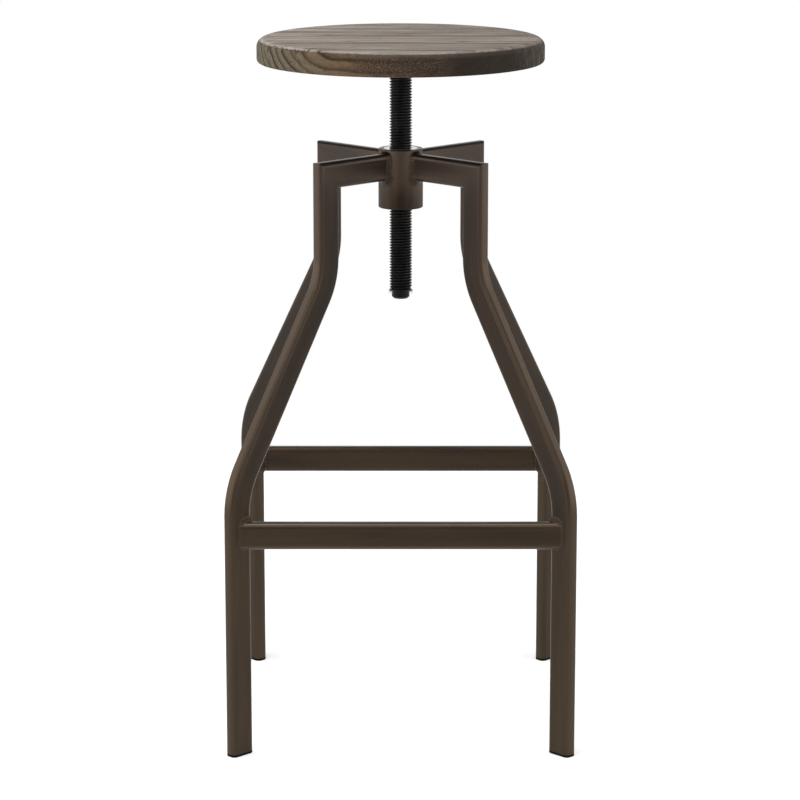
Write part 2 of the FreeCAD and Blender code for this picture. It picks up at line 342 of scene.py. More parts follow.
def cap_plastic():
    material, place = new_finish("matt_black_plastic", IOR=1.46, Specular_IOR_Level=0.04)
    dust = stretched_noise(place, (160, 160, 60), 3.0)
    colour = mix(spread(dust, 0.45, 0.75), (0.003,) * 3, (0.009, 0.008, 0.007))
    rough = spread(dust, 0.3, 0.7, 0.45, 0.62)
    return dress(material, colour, rough, stretched_noise(place, (2600,) * 3, 1.0), 0.12, 0.0002)


black_screw = blackened()
turned_steel = bare_steel()
plastic = cap_plastic()
print("finishes:", black_screw.name, turned_steel.name, plastic.name)

# %% [markdown]
# ## Grain of the seat wood
# The seat is stained softwood, brushed so that the soft wood between the growth rings is worn
# away. Real rings are cylinders round the heart of the tree, so the finish is made in the round:
# each board carries an attribute with its place in its own log. On the top the rings come out as
# long lines, and on the ends as slanted arcs, with no change to the material. A picture of wood
# laid on the disc would not do that.

# %% Grain
SEAT_LOW, SEAT_TOP = [corner.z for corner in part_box("seat_board_1")]
SEAT_RADIUS = 0.16
RING_WIDTH = 0.0094


def wood_grain(place):
    """The place in the log, swaying along its length, and the dark late wood of each ring."""
    log = carried(place, "log")
    sway = fed("ShaderNodeMapping", {"Vector": log, "Scale": (5, 22, 22)})[0]
    sway = fed("ShaderNodeTexNoise", {"Vector": sway, "Scale": 1.0, "Detail": 1.5})[1]
    sway = vectors("MULTIPLY", vectors("ADD", sway, (-0.5, -0.5, -0.5)), (0, 0.02, 0.02))
    bent = vectors("ADD", log, sway)
    heart_distance = length(vectors("MULTIPLY", bent, (0, 1, 1)))
    age = maths("DIVIDE", heart_distance, RING_WIDTH)
    year = {"W": maths("FLOOR", age)}
    year = fed("ShaderNodeTexWhiteNoise", year, noise_dimensions="1D")["Value"]
    late = ramp(maths("FRACT", age), (0.0, 0.4), (0.08, 0.0), (0.4, 0.05),
                (0.66, 0.35), (0.86, 1.0), (1.0, 0.85))
    return bent, times(late, spread(year, 0.0, 1.0, 0.5, 1.2))


def streaks(place, along, across, detail, roughness, *levels):
    """Noise drawn out along the grain. levels are the two ranges of spread()."""
    drawn = stretched_noise(place, (along, across, across), detail, roughness)
    return spread(drawn, *levels)


def across_seat(x):
    """0 at the seat's left end and 1 at its right end."""
    return spread(x, -SEAT_RADIUS, SEAT_RADIUS)


print("ring width in mm:", RING_WIDTH * 1000)

# %% [markdown]
# ## Top and edge of the seat
# The stain is grey on the top, with pale and dark streaks that are strongest at the back, and
# painted shade darkens the top towards the right. The turned edge is browner, because open pores
# drank the stain: strong rings at the left, fine light flecks at the middle, darkest at the right,
# which is partly stain and partly painted shade. Each colour is a function, so the two can be tried
# one at a time.


# %% Top and edge
def wood_top(bent, late, streak, x, y):
    """The top's colour, and how much grain there is at a place."""
    band = streaks(bent, 3.5, 75, 3.0, 0.6, 0.34, 0.66)
    dash = streaks(bent, 22, 260, 2.0, 0.5, 0.6, 0.72, 0.0, 0.45)
    weight = plus(times(late, 0.22), times(streak, 0.34), times(band, 0.36), dash)
    top = ramp(weight, (0.1, (0.345, 0.305, 0.266)), (0.42, (0.222, 0.189, 0.159)),
               (0.7, (0.114, 0.092, 0.075)), (1.0, (0.036, 0.028, 0.022)))
    pale = streaks(bent, 2.5, 62, 3.0, 0.6, 0.6, 0.7, 0.0, 0.55)
    top = mix(pale, top, (0.44, 0.392, 0.345))
    thread = streaks(bent, 1.1, 95, 2.0, 0.5, 0.6, 0.67, 0.0, 0.6)
    top = mix(times(thread, spread(y, -0.1, 0.0, 0.3, 1.0)), top, (0.43, 0.384, 0.338))
    vein = streaks(bent, 2.2, 80, 2.0, 0.6, 0.34, 0.4, 0.55, 0.0)
    top = mix(times(vein, spread(y, -0.1, 0.02, 0.3, 1.0)), top, (0.07, 0.056, 0.046))
    plank = streaks(bent, 1.3, 30, 2.0, 0.5, 0.38, 0.62, -0.24, 0.18)
    plank = times(plank, spread(y, -0.06, 0.06, 0.35, 1.0))
    # Painted shade darkens the top towards the right end; it is also darker along the front edge.
    # The planks add streaks of the grain.
    planks_and_shade = plus(spread(x, -0.12, 0.12, 0.94, 0.76), plank)
    planks_and_shade = times(planks_and_shade, spread(y, -0.158, -0.12, 0.88, 1.0))
    return tint(top, grey(planks_and_shade)), weight


def wood_edge(place, late, streak):
    x, _, z = split(place)
    lines = plus(times(late, 0.62), times(streak, 0.24))
    edge = ramp(lines, (0.05, (0.138, 0.11, 0.077)), (0.35, (0.083, 0.063, 0.041)),
                (0.7, (0.034, 0.024, 0.016)), (1.0, (0.012, 0.009, 0.007)))
    # Darker towards the right end: partly stain that soaked in deeper, partly painted shade.
    stain_and_shade = spread(stretched_noise(place, (14, 14, 30), 3.0), 0.3, 0.7, -0.06, 0.06)
    stain_and_shade = plus(across_seat(x), stain_and_shade)
    stain = ramp(stain_and_shade, (0.06, (0.94, 0.98, 0.98)), (0.24, (0.92, 0.8, 0.67)),
                 (0.36, (0.82, 0.63, 0.48)), (0.46, (0.6, 0.43, 0.32)), (0.9, (0.55, 0.46, 0.38)))
    dark = ramp(stain_and_shade, (0.32, 0.0), (0.44, 0.62), (0.56, 0.86), (0.68, 0.94), (0.9, 0.92),
                (0.97, 0.5), (1.0, 0.4))
    deep = ramp(stain_and_shade, (0.4, (0.033, 0.0215, 0.014)), (0.58, (0.0215, 0.014, 0.0092)),
                (0.7, (0.0138, 0.0096, 0.0066)))
    edge = mix(dark, tint(edge, stain), deep)

    grains = fed("ShaderNodeTexVoronoi", {"Vector": place, "Scale": 940.0})
    shown = fed("ShaderNodeSeparateColor", {0: grains["Color"]})[0]
    shown = spread(shown, 0.28, 0.85, 0.0, 0.8)
    fleck = times(spread(grains["Distance"], 0.3, 0.52, 1.0, 0.0), shown)
    off_middle = maths("ABSOLUTE", plus(x, 0.008))
    fleck = times(fleck, spread(off_middle, 0.04, 0.072, 1.0, 0.06))
    edge = mix(fleck, edge, (0.146, 0.104, 0.073))
    comb = stretched_noise(place, (420, 420, 34), 3.0, 0.6)
    comb = times(spread(comb, 0.48, 0.6, 0.0, 0.8), spread(x, 0.12, 0.15))
    edge = mix(comb, edge, (0.068, 0.06, 0.05))
    fade = ramp(across_seat(x), (0.26, 0.0), (0.42, 0.55), (0.68, 0.4), (0.82, 0.18), (0.97, 0.14))
    fade = times(fade, spread(z, SEAT_TOP - 0.0085, SEAT_TOP - 0.0035))
    edge = mix(fade, edge, (0.115, 0.092, 0.073))
    under = spread(z, SEAT_LOW + 0.0002, SEAT_LOW + 0.0012, 0.65, 0.0)
    return mix(under, edge, (0.085, 0.065, 0.048))


print("seat from", round(SEAT_LOW, 4), "to", round(SEAT_TOP, 4))

# %% [markdown]
# ## The finished wood
# Top and edge meet in a crisp change at the rim. Its crest is pale, mostly at the left: partly
# wear and partly a painted highlight. The rim is darker at the right end and has small dark nicks
# just under it. The boards carry one more attribute, how far the rim has rolled over at a point.
# Cracks and pores go over everything, also into the bump.


# %% Seat wood
def rim_wear_and_highlight(colour, place):
    x, _, z = split(place)
    roll = carried(place, "roll", "Fac")

    def below_top(low, high, *levels):
        return spread(z, SEAT_TOP - low, SEAT_TOP - high, *levels)

    # The pale crest is partly wear and partly a painted highlight, strongest at the left.
    share = ramp(across_seat(x), (0.08, 0.55), (0.3, 0.25), (0.8, 0.2), (0.95, 0.05))
    crest = times(below_top(0.003, 0.002), spread(roll, 0.6, 0.9, 1.0, 0.0), share)
    colour = mix(crest, colour, (0.36, 0.318, 0.275))
    # Darker over the rolled rim at the right end.
    worn = times(spread(roll, 0.55, 1.0, 1.0, 0.0), spread(x, 0.095, 0.15, 0.0, 0.75))
    colour = mix(times(worn, below_top(0.0034, 0.0022)), colour, (0.11, 0.092, 0.076))
    nick = spread(stretched_noise(place, (260, 260, 220), 1.0), 0.59, 0.65)
    under_rim = times(below_top(0.005, 0.0032), below_top(0.0016, 0.0006, 1.0, 0.0))
    nick = times(nick, under_rim, spread(x, -0.09, -0.03, 0.9, 0.12))
    return mix(nick, colour, (0.02, 0.015, 0.012))


def weathered_wood():
    material, place = new_finish("weathered_board", IOR=1.45, Specular_IOR_Level=0.12)
    x, y, z = split(place)
    bent, late = wood_grain(place)
    streak = streaks(bent, 14, 420, 4.0, 0.65, 0.32, 0.68)
    crack = streaks(bent, 9, 120, 2.0, 0.5, 0.63, 0.7)
    pore = streaks(bent, 260, 1100, 1.0, 0.5, 0.58, 0.68)
    top, weight = wood_top(bent, late, streak, x, y)
    side = spread(z, SEAT_TOP - 0.003, SEAT_TOP - 0.0018, 1.0, 0.0)
    colour = mix(side, top, wood_edge(place, late, streak))
    colour = mix(times(crack, 0.55), colour, (0.03, 0.022, 0.017))
    open_pore = times(pore, plus(0.25, times(side, 0.2)))
    colour = mix(open_pore, colour, (0.034, 0.025, 0.018))
    colour = rim_wear_and_highlight(colour, place)
    raised, sunk = plus(times(late, 0.6), times(streak, 0.5)), plus(times(pore, 0.6), crack)
    rough = spread(weight, 0.1, 0.9, 0.78, 0.6)
    return dress(material, colour, rough, maths("SUBTRACT", raised, sunk), 0.6, 0.0007)


board_wood = weathered_wood()
print("finish:", board_wood.name)

# %% [markdown]
# ## Rim of the seat
# Four boards were glued edge to edge and the panel was turned to a disc. The rim is rounded, and
# years of hands have rounded it more at the left and right ends, across the grain. The rim is
# therefore worked out as steps from the underside to the top, each with a draw-in and a height
# that depend on the direction round the seat.

# %% Rim
RIM_ROUND, RIM_ROUND_ENDS = 0.0022, 0.0098
FOOT_ROUND, FOOT_ROUND_ENDS = 0.0014, 0.0042
FOOT_STEPS, SIDE_STEPS, RIM_STEPS = 5, 6, 11
WEAR_DEPTH = 0.00022


def rim_place(step, angle):
    """(draw-in, height, roll) of one step of the rim, from the underside up to the top."""
    end = math.cos(angle) ** 2
    foot = FOOT_ROUND + (FOOT_ROUND_ENDS - FOOT_ROUND) * end
    rim = RIM_ROUND + (RIM_ROUND_ENDS - RIM_ROUND) * end
    low, high = SEAT_LOW + foot, SEAT_TOP - rim
    if step < FOOT_STEPS:
        turn = math.radians(90 * step / (FOOT_STEPS - 1))
        return foot * (1 - math.sin(turn)), low - foot * math.cos(turn), 0.0
    step -= FOOT_STEPS
    if step < SIDE_STEPS:
        return 0.0, low + (high - low) * (step + 1) / (SIDE_STEPS + 1), 0.0
    part = (step - SIDE_STEPS) / (RIM_STEPS - 1)
    turn = math.radians(90 * part)
    return rim * (1 - math.cos(turn)), high + rim * math.sin(turn), part


def wear(angle, height):
    """How far the turned rim is worn in at a place, a few tenths of a millimetre."""
    spot = Vector((7 * math.cos(angle), 7 * math.sin(angle), 40 * height))
    fine = Vector((60 * math.cos(angle), 60 * math.sin(angle), 220 * height))
    return WEAR_DEPTH * (noise.noise(spot) + 0.6 * noise.noise(fine))


print("rim steps:", FOOT_STEPS + SIDE_STEPS + RIM_STEPS)

# %% [markdown]
# ## Boards of the seat
# Each board is a slice of the disc, so its outline is an arc at each end and one or two straight
# seams. The mesh is a stack of such outlines: they draw in along the arc for the rounded rim, and
# by a hair along the seams, which leaves the fine line that shows where two boards meet.

# %% Outline of a board
SEAM_BEVEL = 0.0005
ARC_STEPS, SEAM_STEPS = 90, 40
SHORTEST_SEAM = 0.01


def seam_angle(step, seam, inwards):
    """Where a seam, drawn in by its bevel, meets the rim at this step: its angle and its y."""
    angle = math.asin(max(-1.0, min(1.0, seam / SEAT_RADIUS)))
    if abs(seam) >= SEAT_RADIUS:
        return angle, seam
    for _ in range(6):
        draw, height, _ = rim_place(step, angle)
        y = seam + inwards * max(0.0, SEAM_BEVEL - (SEAT_TOP - height))
        angle = math.asin(y / (SEAT_RADIUS - draw))
    return angle, y


def board_outline(front, back, step):
    """One loop of a board as (place, roll), anticlockwise from the right end of its front seam."""
    start, low = seam_angle(step, front, 1)
    stop, high = seam_angle(step, back, -1)
    right = [start + (stop - start) * i / ARC_STEPS for i in range(ARC_STEPS + 1)]
    arcs = [right, [math.pi - a for a in reversed(right)]]
    loop = []
    for arc, seam in zip(arcs, (high, low)):
        for angle in arc:
            draw, height, roll = rim_place(step, angle)
            reach = SEAT_RADIUS - draw - max(0.0, wear(angle, height))
            y = min(max(reach * math.sin(angle), low), high)
            loop.append((Vector((reach * math.cos(angle), y, height)), roll))
        here = loop[-1][0]
        there = Vector((-here.x, seam, here.z))
        if abs(here.x) > SHORTEST_SEAM:
            loop += [(here.lerp(there, i / SEAM_STEPS), roll) for i in range(1, SEAM_STEPS)]
    return loop


print("seam bevel in mm:", SEAM_BEVEL * 1000)

# %% [markdown]
# Each board was sawn from another log, so each has its own heart for the rings to go round, some
# way off the board and a little tilted to it. The attribute for the grain is the point's place
# seen from that heart.

# %% Boards
HEARTS = [  # the heart of each board's log: (y, z, tilt about Z, tilt about Y)
    (-0.196, 0.105, 0.012, 0.02),
    (-0.19, 0.12, -0.014, 0.012),
    (0.118, -0.06, 0.018, -0.015),
    (0.07, 0.065, -0.02, 0.01),
]
LOG_SPACING = 0.3
RIM_SHARP_DEGREES = 50


def place_piece(name, mesh, node, body="frame"):
    """Puts a finished mesh in the scene, riding on its body in place of its CAD node."""
    piece = show(name, mesh)
    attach(piece, body)
    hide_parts(node)
    print(name, "faces:", len(mesh.polygons))


def finished_mesh(name, shape, material, sharp_degrees=None):
    """Turns a bmesh into a mesh with outward normals and one material."""
    bmesh.ops.recalc_face_normals(shape, faces=shape.faces)
    mesh = bpy.data.meshes.new(name)
    shape.to_mesh(mesh)
    shape.free()
    if sharp_degrees:
        mesh.set_sharp_from_angle(angle=math.radians(sharp_degrees))
    mesh.materials.append(material)
    return mesh


def make_board(number, front, back):
    shape = bmesh.new()
    rolls = shape.verts.layers.float.new("roll")
    loops = []
    for step in range(FOOT_STEPS + SIDE_STEPS + RIM_STEPS):
        loop = []
        for place, roll in board_outline(front, back, step):
            vertex = shape.verts.new(place)
            vertex[rolls] = roll
            loop.append(vertex)
        loops.append(loop)
    for lower, upper in zip(loops[:-1], loops[1:]):
        for i in range(len(lower)):
            j = (i + 1) % len(lower)
            shape.faces.new((lower[i], lower[j], upper[j], upper[i]))
    shape.faces.new(loops[-1])
    shape.faces.new(list(reversed(loops[0])))
    bmesh.ops.remove_doubles(shape, verts=shape.verts, dist=1e-6)
    for face in shape.faces:
        face.smooth = len(face.verts) < 5
    mesh = finished_mesh(f"seat_board_{number}_grain", shape, board_wood, RIM_SHARP_DEGREES)

    y, z, about_z, about_y = HEARTS[number - 1]
    heart = Vector((LOG_SPACING * number, y, (SEAT_LOW + SEAT_TOP) / 2 + z))
    turn = Matrix.Rotation(about_z, 4, "Z") @ Matrix.Rotation(about_y, 4, "Y")
    log = mesh.attributes.new("log", "FLOAT_VECTOR", "POINT")
    for i, vertex in enumerate(mesh.vertices):
        log.data[i].vector = turn @ (vertex.co - heart)
    return mesh


seams = [-SEAT_RADIUS] + [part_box(f"seat_board_{n}")[1].y for n in (1, 2, 3)] + [SEAT_RADIUS]
for number in (1, 2, 3, 4):
    board = make_board(number, seams[number - 1], seams[number])
    place_piece(board.name, board, f"seat_board_{number}", "seat")

# %% [markdown]
# ## Flat tubes
# Arms, legs and bars are one flat steel tube with round corners, cut and bent. A tube like this
# follows a rule: one outline swept along a bent line. Geometry Nodes do exactly that. The line is
# a curve of a few corner points, a fillet rounds the bends, and the outline is swept along it.
# The tree also stores where each point lies across the tube and along it, for the lacquer.


# %% Helpers for shape trees
def new_tree(name, result, **sockets):
    """A shape tree with an input of the given kind for each socket, and one geometry output."""
    tree = bpy.data.node_groups.new(name, "GeometryNodeTree")
    for label, kind in sockets.items():
        tree.interface.new_socket(label, in_out="INPUT", socket_type="NodeSocket" + kind)
    tree.interface.new_socket(result, in_out="OUTPUT", socket_type="NodeSocketGeometry")
    return tree, add(tree, "NodeGroupInput").outputs


def capture(geometry, kind, name, field):
    """Keeps a field's value with the geometry, to be read further on."""
    tree = geometry.id_data
    made = add(tree, "GeometryNodeCaptureAttribute", {"Geometry": geometry})
    made.capture_items.new(kind, name)
    tree.links.new(field, made.inputs[name])
    return made.outputs


def store(geometry, kind, name, value):
    """Stores a value as a named attribute, which materials can read."""
    inputs = {"Geometry": geometry, "Name": name, "Value": value}
    return fed("GeometryNodeStoreNamedAttribute", inputs, data_type=kind, domain="POINT")[0]


def close_tree(geometry, finish):
    smooth = fed("GeometryNodeSetShadeSmooth", {"Geometry": geometry})[0]
    whole = fed("GeometryNodeRealizeInstances", {"Geometry": smooth})[0]
    painted = fed("GeometryNodeSetMaterial", {"Geometry": whole, "Material": finish})[0]
    fed("NodeGroupOutput", {0: painted})


print("shape helpers ready")

# %% Tube tree
BEND_STEPS, CORNER_STEPS, OUTLINE_POINTS = 24, 9, 88


def fillet(curve, steps, radius):
    inputs = {"Curve": curve, "Count": steps, "Radius": radius}
    return fed("GeometryNodeFilletCurve", inputs, mode="POLY")[0]


def tube_tree():
    tree, given = new_tree("flat_tube", "Tube", Line="Geometry", Wide="Float", Thin="Float",
                           Corner="Float", Turn="Float", Finish="Material")
    bends = add(tree, "GeometryNodeInputRadius").outputs[0]
    line = fillet(given["Line"], BEND_STEPS, bends)
    line = fed("GeometryNodeSetCurveTilt", {"Curve": line, "Tilt": given["Turn"]})[0]
    way = add(tree, "GeometryNodeSplineParameter").outputs["Length"]
    line = capture(line, "FLOAT", "along", way)

    sides = {"Width": given["Wide"], "Height": given["Thin"]}
    outline = fed("GeometryNodeCurvePrimitiveQuadrilateral", sides)[0]
    outline = {"Curve": fillet(outline, CORNER_STEPS, given["Corner"]), "Count": OUTLINE_POINTS}
    outline = fed("GeometryNodeResampleCurve", outline, mode="COUNT")[0]
    where = add(tree, "GeometryNodeInputPosition").outputs[0]
    outline = capture(outline, "VECTOR", "across", where)

    sweep = {"Curve": line[0], "Profile Curve": outline[0], "Fill Caps": True}
    swept = fed("GeometryNodeCurveToMesh", sweep)[0]
    wide, thin, _ = split(outline["across"])
    tube = fed("ShaderNodeCombineXYZ", {0: wide, 1: thin, 2: line["along"]})[0]
    close_tree(store(swept, "FLOAT_VECTOR", "tube", tube), given["Finish"])
    return tree


flat_tube = tube_tree()
print("tree:", flat_tube.name, "nodes:", len(flat_tube.nodes))

# %% [markdown]
# A curve object runs through the tree, and the evaluated result becomes a plain mesh, because the
# finished piece should not depend on a modifier. Each run differs only in its corner points, the
# radius of its bends, and whether its wide side stands up or lies in the plane of the bend.


# %% Run a curve through a tree
def line_object(name, runs, closed):
    """A curve of straight runs. Each point is (x, y, z), or (x, y, z, radius of the bend there)."""
    data = bpy.data.curves.new(name, "CURVE")
    data.dimensions = "3D"
    for run in runs:
        spline = data.splines.new("POLY")
        spline.points.add(len(run) - 1)
        for point, place in zip(spline.points, run):
            point.co = (*place[:3], 1)
            point.radius = place[3] if len(place) > 3 else 0.0
        spline.use_cyclic_u = closed
    return show(name, data)


def plain_mesh(name, tree, runs, closed=False, **values):
    """Evaluates a tree on a curve and returns the result as a plain mesh."""
    line = line_object(name, runs, closed)
    modifier = line.modifiers.new("shape", "NODES")
    modifier.node_group = tree
    for item in tree.interface.items_tree:
        if item.item_type == "SOCKET" and item.in_out == "INPUT" and item.name in values:
            modifier[item.identifier] = values[item.name]
    line.update_tag()
    view = bpy.context.evaluated_depsgraph_get()
    mesh = bpy.data.meshes.new_from_object(line.evaluated_get(view), depsgraph=view)
    mesh.name = name
    data = line.data
    bpy.data.objects.remove(line)
    bpy.data.curves.remove(data)
    return mesh


print("curve helpers ready")

# %% [markdown]
# ## Cut tubes
# Every tube ends in a cut: a slanted saw cut where arm meets leg, a round one at the hub, and the
# leg's own outline at a bar. A boolean could make such cuts, but it would break up the even mesh.
# Here the last ring of points is moved along the tube onto the cut instead, and the attribute
# moves with it, so the lacquer's streaks aren't drawn out.

# %% Cut tubes
TUBE_WIDE, TUBE_THIN, TUBE_CORNER = 0.03, 0.015, 0.0055
SHARP_DEGREES = 40
X, Z = 0, 2


def tube_mesh(name, points, stands_up, finish, *cuts):
    """A tube along points. Each cut is (at its start, axis, where a point of that end goes)."""
    turn = math.radians(90) if stands_up else 0.0
    mesh = plain_mesh(name, flat_tube, [points], Wide=TUBE_WIDE, Thin=TUBE_THIN,
                      Corner=TUBE_CORNER, Turn=turn, Finish=finish)
    for cut in cuts:
        shape_end(mesh, *cut)
    mesh.set_sharp_from_angle(angle=math.radians(SHARP_DEGREES))
    return mesh


def shape_end(mesh, at_start, axis, target):
    """Moves an end ring along an axis: target gives the new coordinate for a point."""
    tube = mesh.attributes["tube"].data
    ends = [item.vector.z for item in tube]
    end = min(ends) if at_start else max(ends)
    for vertex in mesh.vertices:
        spot = tube[vertex.index].vector
        if abs(spot.z - end) < 1e-6:
            wanted = target(vertex.co)
            shift = abs(wanted - vertex.co[axis])
            vertex.co[axis] = wanted
            tube[vertex.index].vector = (spot.x, spot.y, spot.z + (shift if at_start else -shift))


print("tube in mm:", TUBE_WIDE * 1000, "by", TUBE_THIN * 1000)

# %% [markdown]
# ## Legs and arms
# A leg stands straight on the floor, leans in above the bars, and stands up again under the arm.
# Its line has four points, two of them bends. The arms are straight lengths of the same tube on
# edge. All four legs are one piece turned about the middle of the stool, and so are the arms.

# %% Legs and arms
LEG_TOP_REACH, LEG_FOOT_REACH = 0.116, 0.2519
CAP_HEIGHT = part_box("leg_front_left")[0].z
LOWER_BEND, UPPER_BEND = (0.299, 0.097), (0.517, 0.08)
ARM_LOW, ARM_TOP = 0.6165, 0.6465
ARM_MIDDLE = (ARM_LOW + ARM_TOP) / 2
MITRE_START = LEG_TOP_REACH - TUBE_WIDE / 2
HUB_RADIUS = 0.025
INTO_HUB = 0.0002
CORNERS = {"front_left": 225, "front_right": 315, "rear_right": 45, "rear_left": 135}


def on_hub(y):
    return math.sqrt(HUB_RADIUS ** 2 - y * y)


leg_line = [
    (LEG_FOOT_REACH, 0, CAP_HEIGHT),
    (LEG_FOOT_REACH, 0, *LOWER_BEND),
    (LEG_TOP_REACH, 0, *UPPER_BEND),
    (LEG_TOP_REACH, 0, ARM_TOP),
]
leg_cut = (False, Z, lambda p: ARM_LOW + p.x - MITRE_START)
arm_line = [(HUB_RADIUS * 0.9, 0, ARM_MIDDLE), (LEG_TOP_REACH + TUBE_WIDE / 2, 0, ARM_MIDDLE)]
hub_cut = (True, X, lambda p: on_hub(p.y) - INTO_HUB)
arm_cut = (False, X, lambda p: MITRE_START + p.z - ARM_LOW)
leg = tube_mesh("leg_tube", leg_line, False, tube_lacquer, leg_cut)
arm = tube_mesh("arm_tube", arm_line, True, tube_lacquer, hub_cut, arm_cut)
for kind, tube in (("leg", leg), ("arm", arm)):
    for corner, degrees in CORNERS.items():
        mesh = tube.copy()
        mesh.transform(Matrix.Rotation(math.radians(degrees), 4, "Z"))
        place_piece(f"{kind}_{corner}_tube", mesh, f"{kind}_{corner}")

# %% [markdown]
# ## Footrest bars
# A bar joins the two front legs and another the two rear legs. A leg stands with its broad side
# at 45 degrees to the bar, so the end of the bar is cut to the leg's outline. A short search along
# the bar finds where it meets that outline.

# %% Footrest bars
LEG_SIDE = LEG_FOOT_REACH / math.sqrt(2)
BAR_HEIGHT = 0.2504
SEARCH_START, SEARCH_STEPS = 0.04, 40


def outside_leg(x, y):
    """Distance of a point from the leg's outline, in the leg's own middle, at 45 degrees."""
    radial, sideways = (x - y) / math.sqrt(2), (x + y) / math.sqrt(2)
    a = max(abs(radial) - TUBE_WIDE / 2 + TUBE_CORNER, 0)
    b = max(abs(sideways) - TUBE_THIN / 2 + TUBE_CORNER, 0)
    return math.hypot(a, b) - TUBE_CORNER


def leg_surface(y):
    """How far short of the leg's middle a bar ends, at a distance y behind that middle."""
    outer, inner = SEARCH_START, 0.0
    for _ in range(SEARCH_STEPS):
        middle = (outer + inner) / 2
        if outside_leg(-middle, y) > 0:
            outer = middle
        else:
            inner = middle
    return outer


bar_line = [(-LEG_SIDE, -LEG_SIDE, BAR_HEIGHT), (LEG_SIDE, -LEG_SIDE, BAR_HEIGHT)]
left_cut = (True, X, lambda p: -LEG_SIDE + leg_surface(p.y + LEG_SIDE))
right_cut = (False, X, lambda p: LEG_SIDE - leg_surface(p.y + LEG_SIDE))
bar = tube_mesh("bar_tube", bar_line, True, bar_lacquer, left_cut, right_cut)
rear_bar = bar.copy()
rear_bar.transform(Matrix.Rotation(math.pi, 4, "Z"))
rear_bar.materials[0] = tube_lacquer
place_piece("front_bar_tube", bar, "front_stretcher")
place_piece("rear_bar_tube", rear_bar, "rear_stretcher")

# %% [markdown]
# ## Welds
# Where an arm meets the hub, and a bar meets a leg, the corner is filled with weld metal that
# runs out thin on both pieces. Such a fillet lies between two lines, its toes, one on each piece,
# and hollows towards the corner itself. A tree bends a strip of mesh between those lines. The
# ripples of the weld pool go round the joint, and a little seeded noise keeps them uneven. The
# strip closes behind the surface, so the weld is a solid ring. The tree also stores how deep in
# the hollow a point lies, for the lacquer.

# %% Weld tree
STRIP_ROWS = 13
ROW = 1 / (STRIP_ROWS - 1)
ROOT_DEPTH = 0.0005


def scaled(vector, factor):
    inputs = {0: vector, "Scale": factor}
    return fed("ShaderNodeVectorMath", inputs, operation="SCALE")[0]


def weld_tree():
    tree, given = new_tree("fillet_weld", "Weld", Lines="Geometry", Points="Int", Puddles="Int",
                           Ripple="Float", Seed="Float", Finish="Material")
    count = given["Points"]

    # the strip: turn goes round the joint, t from one toe to the other
    grid = {"Size X": 1.0, "Size Y": 1.0, "Vertices X": plus(count, 1.0), "Vertices Y": STRIP_ROWS}
    strip = fed("GeometryNodeMeshGrid", grid)[0]
    x, y, _ = split(add(tree, "GeometryNodeInputPosition").outputs[0])
    turn = plus(x, 0.5)
    column = maths("MODULO", maths("ROUND", times(turn, count)), count)
    t = spread(y, -0.5 + ROW, 0.5 - ROW)
    s = maths("SUBTRACT", 1.0, t)
    both = times(s, t, 2.0)
    behind = maths("GREATER_THAN", maths("ABSOLUTE", y), 0.5 - ROW / 2)

    def taken(number, field, kind):
        """A field's value at this column of one of the three lines."""
        index = plus(column, times(count, float(number)))
        inputs = {"Geometry": given["Lines"], "Index": index, "Value": field}
        return fed("GeometryNodeSampleIndex", inputs, data_type=kind, domain="POINT")[0]

    spot = add(tree, "GeometryNodeInputPosition").outputs[0]
    first, corner, second = [taken(number, spot, "FLOAT_VECTOR") for number in (0, 1, 2)]
    size = add(tree, "GeometryNodeInputRadius").outputs[0]
    rough = taken(0, size, "FLOAT")
    hollow = maths("SUBTRACT", taken(1, size, "FLOAT"), 1.0)

    # a bow from toe to toe, pulled towards the corner
    middle = scaled(vectors("ADD", first, second), 0.5)
    inward = vectors("SUBTRACT", corner, middle)
    out = vectors("NORMALIZE", scaled(inward, -1.0))
    pull = vectors("ADD", middle, scaled(inward, hollow))
    bow = vectors("ADD", scaled(first, times(s, s)), scaled(second, times(t, t)))
    bow = vectors("ADD", bow, scaled(pull, both))

    # ripples and lumps, highest halfway between the toes
    phase = plus(times(turn, given["Puddles"]), times(both, 0.9))
    ripple = times(maths("SINE", times(phase, 2 * math.pi)), given["Ripple"])
    lumps = {"Vector": bow, "W": given["Seed"], "Scale": 320.0, "Detail": 2.0}
    lumps = fed("ShaderNodeTexNoise", lumps, noise_dimensions="4D")[0]
    lumps = times(maths("SUBTRACT", lumps, 0.5), rough)
    swell = times(plus(ripple, lumps), times(both, 2.0))
    bow = vectors("ADD", bow, scaled(out, swell))
    root = vectors("ADD", corner, scaled(out, -ROOT_DEPTH))
    place = fed("GeometryNodeSwitch", {0: behind, 1: bow, 2: root}, input_type="VECTOR")[0]

    depth = times(times(both, 2.0), spread(length(inward), 0.001, 0.0024))
    kept = capture(strip, "FLOAT", "depth", depth)
    bent = fed("GeometryNodeSetPosition", {"Geometry": kept[0], "Position": place})[0]
    ring = fed("GeometryNodeMergeByDistance", {"Geometry": bent, "Distance": 1e-6})[0]
    close_tree(store(ring, "FLOAT", "hollow", kept["depth"]), given["Finish"])
    return tree


fillet_weld = weld_tree()
print("tree:", fillet_weld.name, "nodes:", len(fillet_weld.nodes))

# %% [markdown]
# The lines follow the tube's outline. Grown a little, the outline lies on the hub or on the leg,
# and moved out a little, it lies on the tube. The points sit a hair below both surfaces, so no
# light shows through. A curve point has a radius that nothing else needs here, so on the first
# line it holds the roughness of the bead there, and on the corner line its hollow plus one. The
# welds of one set are joined into one mesh.

# %% Weld lines
WELD_POINTS = 240
UNDER = 0.0001


